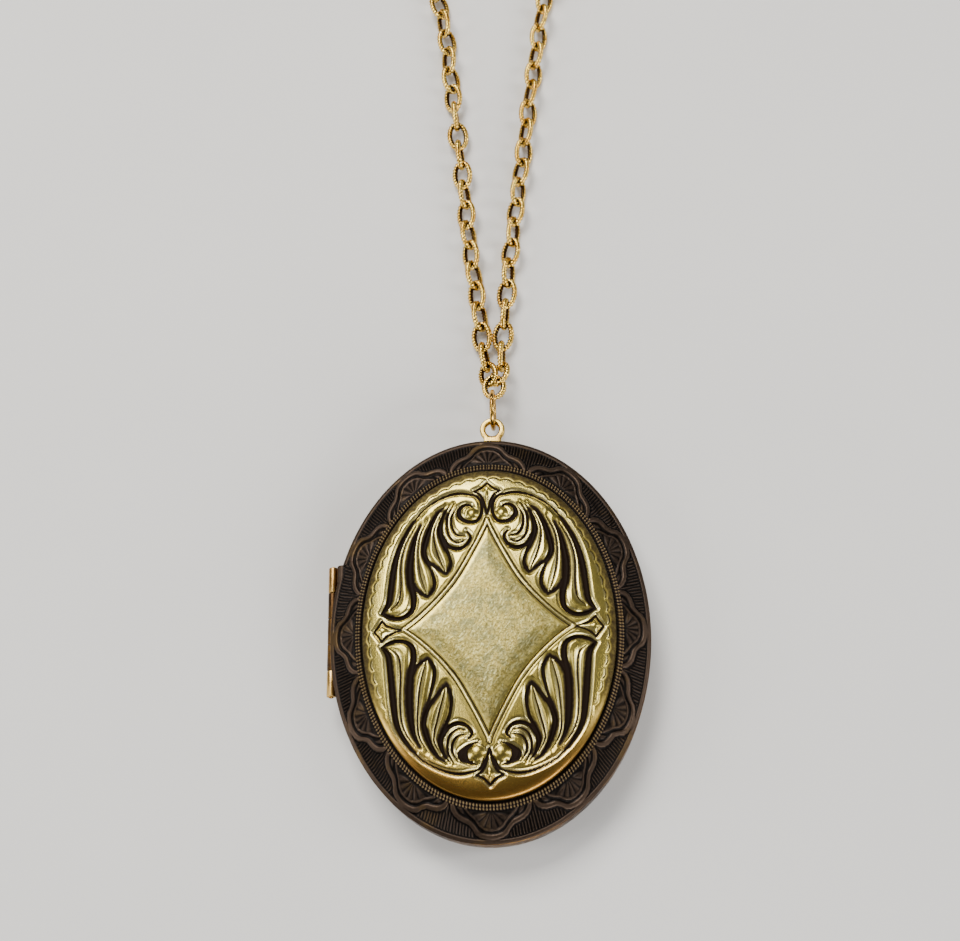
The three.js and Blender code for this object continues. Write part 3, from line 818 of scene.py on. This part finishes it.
def make_dome(count=300):
    """The raised middle of the front cover, with its cut work, closed underneath."""
    u, v = square_to_disc(count)
    rho = np.hypot(u, v)
    warp = np.where(rho > 0, np.maximum(rho, 1e-9) ** 0.85 / np.maximum(rho, 1e-9), 0)
    u, v, rho = u * warp, v * warp, rho * warp
    x, y = u * DOME_A, v * DOME_B
    rise = TOP_Z - DOME_FOOT_Z
    dip = np.sqrt(np.clip(1 - rho ** 2, 0, 1))
    z = DOME_FOOT_Z + rise * dip
    normal = np.stack([x / DOME_A ** 2, y / DOME_B ** 2, (z - DOME_FOOT_Z) / rise ** 2], -1)
    normal /= np.linalg.norm(normal, axis=-1, keepdims=True)
    height, patina_and_shade, mottled, brightened = dome_relief(x, y)
    height *= ramp(1.0, 0.97, rho)
    top = np.stack([x, y, z], -1) + normal * height[..., None]
    lower = ramp(-5, -21, y)
    warmth = np.clip(lower * (0.2 + 0.7 * ramp(0.84, 0.93, rho)) + 0.25 * ramp(0.93, 0.99, rho), 0, 1)

    side = count + 1
    index = np.arange(side * side).reshape(side, side)
    corners = [index[:-1, :-1], index[:-1, 1:], index[1:, 1:], index[1:, :-1]]
    faces = np.stack(corners, -1).reshape(-1, 4)
    edge = np.concatenate([index[0, :-1], index[:-1, -1], index[-1, :0:-1], index[:0:-1, 0]])
    points = top.reshape(-1, 3)
    rim = points[edge]
    rows = []
    for share, drop in ((1.0, 0.45), (0.975, 0.6), (0.95, 0.45), (0.8, None), (0.5, None)):
        row = rim * (share, share, 1)
        dip = math.sqrt(max(1 - share ** 2, 0))
        row[:, 2] = DOME_FOOT_Z - drop if drop else DOME_FOOT_Z - DOME_DEPTH + rise * dip
        rows.append(row)
    rows.append(np.array([[0, 0, DOME_FOOT_Z - DOME_DEPTH + rise]]))
    under_points, under_faces = loft([rim] + rows)
    first = len(points) - len(edge)
    under_faces = [
        tuple(edge[i] if i < len(edge) else first + i for i in reversed(face)) for face in under_faces
    ]
    all_points = np.vstack([points, under_points[len(edge):]])
    spare = len(all_points) - len(points)
    layers = {
        layer: np.concatenate([values.ravel(), np.full(spare, underneath)])
        for layer, values, underneath in (
            ("patina_and_shade", patina_and_shade, 0.3), ("mottled", mottled, 0.0), ("warmth", warmth, 0.4),
            ("brightened", brightened, 0.0),
        )
    }
    add_piece(
        "front_dome", all_points, list(map(tuple, faces)) + under_faces, "front", "antique_brass",
        dome_finish(), ["front_cover"], layers,
    )


# ---------------- border

PANELS = 12
# Lines of one half panel: the share of its width from its middle, and of the way out to the rim.
OUTLINE = [
    (0, .83), (.12, .82), (.24, .78), (.33, .7), (.41, .58), (.5, .5), (.62, .47), (.74, .43), (.84, .35),
    (.92, .23), (1, .05),
]
INNER_LINE = [(0, .66), (.14, .64), (.26, .55), (.37, .4), (.5, .3), (.6, .2), (1, -.4)]
# How high the pattern stands, how much the slope bulges, how far it lies sunk, and its normal's
# share outwards and upwards.
BORDER_RELIEF = 0.24
BORDER_BULGE = 0.43
BORDER_SINK = 0.12
BORDER_NORMAL = (0.36, 0.93)
TICK_PITCH = 0.37
BEAD_PITCH = 0.45
BEAD_RADIUS = 0.2
PETALS = 7
WING_INSET = 6.5


def line_distance(line, s, u, reach, across):
    """Distance in millimetres from a line u(|s|) of the border's pattern, with its side's sign."""
    keys, values = np.array(line).T
    here = np.interp(np.abs(s), keys, values)
    ahead = np.interp(np.abs(s) + 0.05, keys, values)
    slope = (ahead - here) / 0.05 * across / reach
    return (u - here) * across / np.sqrt(1 + slope ** 2)


def border_relief(x, y, u):
    """Height of the border's pattern, and how far it stands proud of the dark ground."""
    a, b = (CASE_A + RIDGE_A) / 2, (CASE_B + RIDGE_B) / 2
    place, around = oval_place(x, y, a, b)
    across = CASE_A - RIDGE_A
    reach = around / PANELS / 2
    phase = place / (2 * reach)
    s = 2 * (phase - np.round(phase))
    out = line_distance(OUTLINE, s, u, reach, across)
    inner = line_distance(INNER_LINE, s, u, reach, across)
    lift = 1 - ramp(0.16, 0.36, np.abs(out))
    lift = np.maximum(lift, 0.75 * (1 - ramp(0.06, 0.2, np.abs(inner))))

    fan_x, fan_y = s * reach, (u - 0.16) * across
    bearing = np.arctan2(fan_x, fan_y)
    petal = np.abs(np.sin(PETALS * bearing)) ** 0.7
    in_fan = ramp(0.05, -0.25, inner) * ramp(0.2, 0.28, u)
    lift = np.maximum(lift, in_fan * (0.15 + 0.5 * petal))
    leaf = np.abs(np.abs(s) - 0.74 + 0.5 * (u - 0.2))
    in_corner = ramp(-0.35, -0.6, out) * ramp(0.17, 0.2, u)
    lift = np.maximum(lift, 0.6 * (1 - ramp(0.03, 0.09, leaf)) * in_corner)

    tick = 0.5 + 0.5 * np.cos(2 * math.pi * place / TICK_PITCH)
    in_ticks = ramp(0.4, 0.5, out) * ramp(0.88, 0.85, u)
    lift = np.maximum(lift, in_ticks * ramp(0.3, 0.75, tick) * 0.62)
    lift = np.maximum(lift, ramp(0.89, 0.91, u) * 0.8)

    bead = np.zeros(x.shape)
    for middle, long in ((0.05, 1.1), (0.138, 0.8)):
        beat = (place / BEAD_PITCH) % 1 - 0.5
        off = np.hypot(beat * BEAD_PITCH, (u - middle) * across / long)
        bead = np.maximum(bead, np.sqrt(np.clip(1 - (off / BEAD_RADIUS) ** 2, 0, 1)))
    in_beads = u < 0.18
    bead *= u >= 0
    return BORDER_RELIEF * np.where(in_beads, 1.1 * bead, lift), np.where(in_beads, 1.5 * bead, lift)


def border_row(u, fall, around):
    """A ring of points at the share u of the way out from the ridge to the rim."""
    a, b = RIDGE_A + (CASE_A - RIDGE_A) * u, RIDGE_B + (CASE_B - RIDGE_B) * u
    z = RIDGE_Z + (RIM_TOP_Z - RIDGE_Z) * fall + BORDER_BULGE * u * (1 - u)
    return winged(oval(a, b, z, around), WING_INSET * (1 - u))


def make_border(around=1440, across=44):
    """The sloping patterned border between the dome and the rim."""
    out_share, up_share = BORDER_NORMAL
    rows, lifts = [], []
    for u in np.concatenate([[-0.09, -0.05, -0.02], np.linspace(0, 1, across)]):
        row = border_row(u, max(u, 0), around)
        height, lift = border_relief(row[:, 0], row[:, 1], np.full(around, u))
        outward = row[:, :2] / np.linalg.norm(row[:, :2], axis=1)[:, None]
        row[:, :2] += outward * (height * out_share)[:, None]
        row[:, 2] += height * up_share - BORDER_SINK
        rows.append(row)
        lifts.append(lift)
    under = [border_row(u, u, around) - (0, 0, SHEET) for u in (0.97, 0.5, -0.09)]
    points, faces = loft(under[::-1] + rows[::-1], closed=True)
    lift = np.concatenate([np.zeros(len(under) * around)] + lifts[::-1])
    add_piece(
        "front_border", points, faces, "front", "antique_brass", border_finish(), ["front_cover"],
        {"lift": lift},
    )


def about_hinge(reach, y, turn):
    """Points at one place along the hinge's line, at a distance from it."""
    x, z = HINGE_X + reach * np.cos(turn), PARTING_Z + reach * np.sin(turn)
    return np.stack([x, np.full(len(turn), y), z], 1)


def hinge_cutter(spare=0.23, around=48):
    """The round space that the barrel needs, a little longer than the barrel's place."""
    low, high = HINGE_SPAN[0] - spare, HINGE_SPAN[1] + spare
    turn = full_turn(around)
    rows = [about_hinge(NOTCH_RADIUS, y, turn) for y in (low, high)]
    ends = [np.array([[HINGE_X, y, PARTING_Z]]) for y in (low, high)]
    points, faces = loft([ends[0]] + rows + [ends[1]])
    return points, [face[::-1] for face in faces]


def band(name, profile, radius, body, slot, material, replaces, wing=False, around=480):
    """A closed band that follows the case's rim. The profile lists insets and heights."""
    rows = []
    for inset, z in soften(profile, radius):
        row = rim_oval(inset, z, around)
        rows.append(winged(row, inset) if wing else row)
    return add_piece(name, *loft(rows, closed=True), body, slot, material, replaces)


def make_rim():
    profile = [
        (0, FRONT_FOOT_Z), (0, 5.2), (-0.12, 5.42), (-0.12, 5.75), (0.24, 5.86), (SHEET, 5.55),
        (SHEET, FRONT_FOOT_Z),
    ]
    piece = band("front_rim", profile, 0.1, "front", "antique_brass", SIDE_BRASS, ["front_cover"], True, 960)
    cut_with(piece, *hinge_cutter())


# ---------------- back cover and insides


def bowl(inset, floor, steps=18):
    """Rings from the flat on which the locket lies up to the upright wall."""
    rows = []
    for step in range(steps + 1):
        turn = math.pi / 2 * step / steps
        share = math.sin(turn)
        a = REST_A + (CASE_A - inset - REST_A) * share
        b = REST_B + (CASE_B - inset - REST_B) * share
        rows.append(oval(a, b, floor + (BACK_WALL_Z - floor) * (1 - math.cos(turn))))
    return rows


def make_back_cover():
    lip = [(0, 0.12), (0.04, 0.03), (0.12, 0)]
    edge = [rim_oval(inset, PARTING_Z - drop) for inset, drop in lip]
    edge += [rim_oval(SHEET - inset, PARTING_Z - drop) for inset, drop in lip[::-1]]
    flat = [oval(REST_A * s, REST_B * s, 0) for s in (0.4, 0.9)]
    rows = [[(0, 0, 0)]] + flat + bowl(0, 0) + edge + bowl(SHEET, SHEET)[::-1] + [[(0, 0, SHEET)]]
    piece = add_piece("back_shell", *loft(rows), "back", "plain_brass", SIDE_BRASS, ["back_cover"])
    cut_with(piece, *hinge_cutter())


def sheet(name, inset, low, high, body, slot, material, replaces):
    """A thin oval sheet that fills the case's outline but for the inset."""
    crown = (high - low) * 0.3
    steps = (0.4, 0.12, 0.06)
    rows = [[(0, 0, low)]] + [rim_oval(inset + step, low) for step in steps]
    rows += [rim_oval(inset, low + crown), rim_oval(inset, high - crown)]
    rows += [rim_oval(inset + step, high) for step in steps[::-1]] + [[(0, 0, high)]]
    add_piece(name, *loft(rows), body, slot, material, replaces)


def make_insides():
    bezel = [(0.58, 3.2), (0.58, 5.35), (1.1, 5.35), (1.1, 3.2)]
    piece = band("bezel_band", bezel, 0.12, "back", "plain_brass", PLAIN_BRASS, ["closing_bezel"])
    cut_with(piece, *hinge_cutter())
    frame_back = [(1.2, 3.35), (1.2, 4.35), (3.2, 4.35), (3.2, 4.05), (1.55, 4.05), (1.55, 3.35)]
    band("back_holder", frame_back, 0.14, "back", "plain_brass", PLAIN_BRASS, ["back_picture_frame"])
    frame_front = [(2.05, 5.32), (2.05, 5.85), (1.7, 5.85), (1.7, 5.05), (3.4, 5.05), (3.4, 5.32)]
    band("front_holder", frame_front, 0.12, "front", "plain_brass", PLAIN_BRASS, ["front_picture_frame"])
    for cover, inset, pane, card in (
        ("back", 1.62, (3.74, 4.0), (3.5, 3.66)), ("front", 2.12, (5.37, 5.6), (5.66, 5.8)),
    ):
        sheet(cover + "_window", inset, *pane, cover, "clear_pane", CLEAR, [cover + "_pane"])
        sheet(cover + "_card", inset, *card, cover, "picture_card", CARD, [cover + "_picture_card"])


# ---------------- hinge


def along_y(profile, around=40):
    """Turned about the hinge's line. The profile lists radii and places along Y."""
    turn = -full_turn(around)
    return [about_hinge(reach, y, turn) for reach, y in profile]


def make_hinge():
    bore, rounding = 0.36, 0.09
    for name in KNUCKLES:
        node = "hinge_knuckle_" + name
        low, high = box_mm(node)
        outer = (high[2] - low[2]) / 2
        profile = [(bore, low[1]), (outer, low[1]), (outer, high[1]), (bore, high[1])]
        mesh = loft(along_y(soften(profile, rounding)), closed=True)
        body = "front" if name.startswith("front") else "back"
        # Painted light and shade: the end knuckles take the brighter plain brass, and the middle ones, in
        # shade under the rim, the dark side brass.
        brightened = name in (KNUCKLES[0], KNUCKLES[-1])
        finish = PLAIN_BRASS if brightened else SIDE_BRASS
        add_piece("knuckle_" + name, *mesh, body, "plain_brass", finish, [node])
    low, high = box_mm("hinge_pin")
    # The pin's rounded end: radii, and how far each is in from the end.
    nose = [(0.16, -0.02), (0.26, 0.03), (0.31, 0.12)]
    ends = [(radius, low[1] + inward) for radius, inward in nose]
    ends += [(radius, high[1] - inward) for radius, inward in nose[::-1]]
    rows = along_y(ends)
    rows = [rows[0].mean(axis=0)[None]] + rows + [rows[-1].mean(axis=0)[None]]
    add_wire("pin", loft(rows), "back", "hinge_pin")


# ---------------- bail, jump ring and end link


RING_Z = 3.9


def make_bail(around=144):
    """A flat ring whose foot widens into the case, all in one outline about the hole."""
    x, y = 0.5, 28.3
    outer_radius, hole, thickness, neck, foot, rounding = 1.64, 0.9, 0.8, 1.15, 2.22, 0.32
    turn = full_turn(around)
    with np.errstate(divide="ignore"):
        down = np.where(np.sin(turn) < 0, -foot / np.sin(turn), 0)
        neck_reach = np.minimum(neck / np.abs(np.cos(turn)), down)
    outer = np.maximum(outer_radius, neck_reach)
    profile = [(0, -thickness / 2), (1, -thickness / 2), (1, thickness / 2), (0, thickness / 2)]
    rows = []
    for share, height in soften(profile, rounding, 6):
        reach = hole + share * (outer - hole)
        height = np.full(around, RING_Z + height)
        rows.append(np.stack([x + reach * np.cos(turn), y + reach * np.sin(turn), height], 1))
    add_piece("bail_ring", *loft(rows, closed=True), "back", "pale_brass", PALE_BRASS, ["bail"])


def make_jump_ring(count=120):
    """A ring of plain wire, upright in the bail, with its seam at the top."""
    x, y, radius, wire, blunt = 0.6, 31.12, 2.42, 0.32, 0.05
    seam, half_gap = math.radians(78), 0.016
    turn = np.linspace(seam + half_gap, seam + 2 * math.pi - half_gap, count)
    path = np.stack([np.full(count, x), y + radius * np.cos(turn), RING_Z + radius * np.sin(turn)], 1)
    radii = np.full(count, wire)
    radii[[0, -1]] = wire - blunt
    add_wire("jump_ring_wire", tube(path, radii, 20), "jump_ring", "jump_ring")


def make_end_link():
    """The chain's middle link, which hangs on the jump ring and slopes down to the strands."""
    length, width, wire, tilt = 4.7, 3.3, 0.39, math.radians(-24)
    x, top_y, hung = 0.8, 33.54, 1.16
    points, faces, depth = twisted_link(length, width, wire, 128, 14)
    along, across = points[:, 0] + hung, points[:, 1]
    lift = points[:, 2]
    placed = np.stack([
        x + across,
        top_y + along * math.cos(tilt) - lift * math.sin(tilt),
        RING_Z + along * math.sin(tilt) + lift * math.cos(tilt),
    ], 1)
    add_piece(
        "end_link_wire", placed, [face[::-1] for face in faces], "end_link", "gold_chain", CHAIN_GOLD,
        ["chain_end_link"], {"depth": depth},
    )


# ---------------- clasp

CLASP = np.array((0.9, 127.5, 1.0))
CLASP_RADIUS, CLASP_WIRE, CLASP_BORE = 2.6, 0.7, 0.5
BOLT_WIRE = 0.42
SLOT_HEIGHT, KNOB_HEIGHT = 0.7, 0.56
EYE_RADIUS, EYE_WIRE, EYE_OUT = 0.85, 0.25, (4.45, 0, 0)
JOIN_RADIUS, JOIN_WIRE, JOIN_PLACE = 1.45, 0.26, (3.9, 127.5, 1.72)


def clasp_arc(wire, start, end, section, step=4, blunt=0.0):
    """An arc of round wire in the clasp's plane, between two bearings in degrees."""
    turn = np.radians(np.linspace(start, end, max(3, int((end - start) / step))))
    path = CLASP + oval_points(CLASP_RADIUS, CLASP_RADIUS, 0, turn)
    radii = np.full(len(turn), wire)
    radii[[0, -1]] = wire - blunt
    return tube(path, radii, section)


def clasp_sector(inner, outer, start, end, height, steps=16):
    """A block between two radii and two bearings in degrees, about the clasp's middle."""
    corners = ((inner, -height / 2), (inner, height / 2), (outer, height / 2), (outer, -height / 2))
    rows = []
    for turn in np.radians(np.linspace(start, end, steps)):
        out = np.array((math.cos(turn), math.sin(turn), 0))
        rows.append([CLASP + out * reach + (0, 0, up) for reach, up in corners])
    return loft([[np.mean(rows[0], axis=0)]] + rows + [[np.mean(rows[-1], axis=0)]])


def make_clasp():
    """A spring-ring clasp. Returns the pieces on the left strand's end and on the right one's."""
    body = add_wire("clasp_tube", clasp_arc(CLASP_WIRE, 30, 330, 28, 3, 0.06), "back", "clasp_body")
    channel = clasp_arc(CLASP_BORE, 20, 255, 24)
    mouth = clasp_arc(CLASP_BORE, 322, 340, 24)
    thumb_slot = clasp_sector(CLASP_RADIUS, 4.6, 36, 118, SLOT_HEIGHT)
    for cutter in (channel, mouth, thumb_slot):
        cut_with(body, *cutter)
    points, faces = clasp_arc(BOLT_WIRE, -35, 100, 16, 3, 0.1)
    knob_points, knob_faces = clasp_sector(2.7, 4.0, 40, 52, KNOB_HEIGHT)
    faces = faces + [tuple(i + len(points) for i in face) for face in knob_faces]
    bolt_mesh = np.vstack([points, knob_points]), faces
    bolt = add_wire("clasp_bolt_rod", bolt_mesh, "clasp_bolt", "clasp_bolt")
    points, faces = ring(EYE_RADIUS, EYE_WIRE)
    eye = add_wire("clasp_eye_ring", (points + CLASP - EYE_OUT, faces), "back", "clasp_eye")
    points, faces = ring(JOIN_RADIUS, JOIN_WIRE)
    upright = np.stack([points[:, 0], -points[:, 2], points[:, 1]], 1) + JOIN_PLACE
    end_ring = add_wire("clasp_join_ring", (upright, faces), "back", "clasp_end_ring")
    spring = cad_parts["clasp_spring"]
    spring.data.materials.clear()
    spring.data.materials.append(SPRING_STEEL)
    spring.data.polygons.foreach_set("use_smooth", np.ones(len(spring.data.polygons), bool))
    return [body, bolt, eye, spring], [end_ring]


# ---------------- floor and light


def make_floor():
    finish = Finish("floor", 0.0, 0.85)
    patches = finish.noise(40.0, 3.0)
    finish.set("Base Color", finish.mix(patches, srgb(222, 220, 216), srgb(214, 212, 209)))
    finish.bump(finish.noise(0.7, 4.0), 0.12, 0.02)
    half, just_under = 2000, -0.02 * MM
    corners = [(-half, -half, 0), (half, -half, 0), (half, half, 0), (-half, half, 0)]
    mesh = add_mesh("floor", corners, [(0, 1, 2, 3)])
    floor = add_object("floor", mesh)
    floor.location.z = just_under
    mesh.materials.append(finish.material)


def add_light(name, place, target, size, power, colour=(1, 1, 1)):
    """A soft panel. The place and the target are in metres, the size in metres across."""
    data = bpy.data.lights.new(name, "AREA")
    data.shape = "RECTANGLE"
    data.size, data.size_y = size
    data.energy = power
    data.color = colour
    light = add_object(name, data)
    light.location = place
    light.rotation_euler = (Vector(target) - Vector(place)).to_track_quat("-Z", "Y").to_euler()


def add_lights():
    middle = (0, 0.02, 0)
    add_light("window", (-0.17, 0.36, 0.56), middle, (0.34, 0.34), 5.8, (1, 0.98, 0.94))
    add_light("above", (-0.2, 0.0, 0.6), middle, (0.2, 0.16), 0.35, (1, 0.985, 0.96))
    add_light("front", (0.3, -0.6, 0.26), middle, (0.6, 0.24), 5.5)
    add_light("left", (-0.6, -0.12, 0.24), middle, (0.2, 0.4), 2.2)
    add_light("right", (0.5, 0.0, 0.3), middle, (0.1, 0.4), 1.6)
    world = bpy.data.worlds.new("studio")
    world.use_nodes = True
    background = world.node_tree.nodes["Background"]
    background.inputs["Color"].default_value = (0.55, 0.56, 0.58, 1)
    background.inputs["Strength"].default_value = 0.25
    bpy.context.scene.world = world


clasp_pieces, clasp_join = make_clasp()
left_route = chain_route(CHAIN_LEFT, -1, CHAIN_TAIL_LEFT)
right_route = chain_route(CHAIN_RIGHT, 1, CHAIN_TAIL_RIGHT)
left_nodes = ["chain_left", "chain_tail_left", "chain_coil"]
right_nodes = ["chain_right", "chain_tail_right", "chain_coil"]
add_strand("chain_left_half", left_route, left_nodes, LEFT_LOOSE, 5)
add_strand("chain_right_half", right_route, right_nodes, RIGHT_LOOSE, 6)
make_end_link()
make_jump_ring()
make_bail()
make_dome()
make_border()
make_rim()
make_back_cover()
make_insides()
make_hinge()
make_floor()
add_lights()
